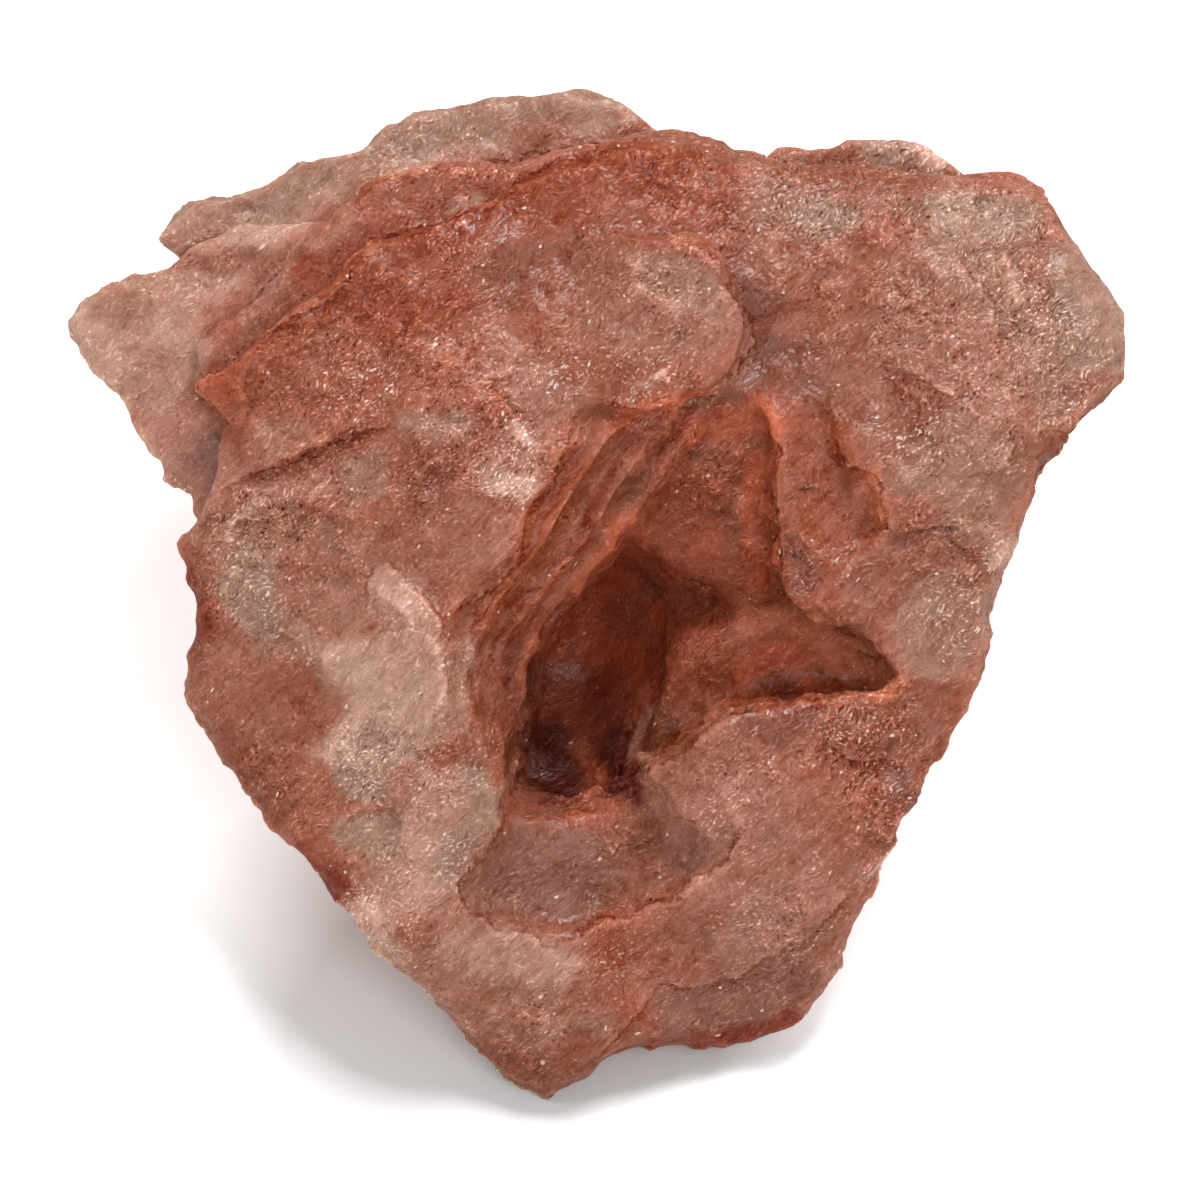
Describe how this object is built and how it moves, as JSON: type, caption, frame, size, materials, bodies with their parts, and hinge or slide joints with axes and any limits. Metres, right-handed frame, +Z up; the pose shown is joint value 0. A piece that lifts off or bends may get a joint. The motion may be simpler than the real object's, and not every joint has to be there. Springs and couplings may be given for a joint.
{
  "type": "rough morganite stone",
  "caption": "Rough broken piece of pink-brown morganite: a broad worn face with a deep stepped hollow and a tongue over it, and thin slabs split off behind.",
  "frame": {"origin": "bottom centre of the piece, on the flat break it rests on", "axes": "+X to the right along the longest side of the broad face, +Y to the back, +Z up; the broad face leans back 30 degrees from level and faces up and to the front"},
  "size_m": [0.0594, 0.052, 0.0322],
  "materials": {
    "morganite": "rough broken, translucent"
  },
  "bodies": {
    "root": {"morganite": "morganite"}
  },
  "joints": []
}
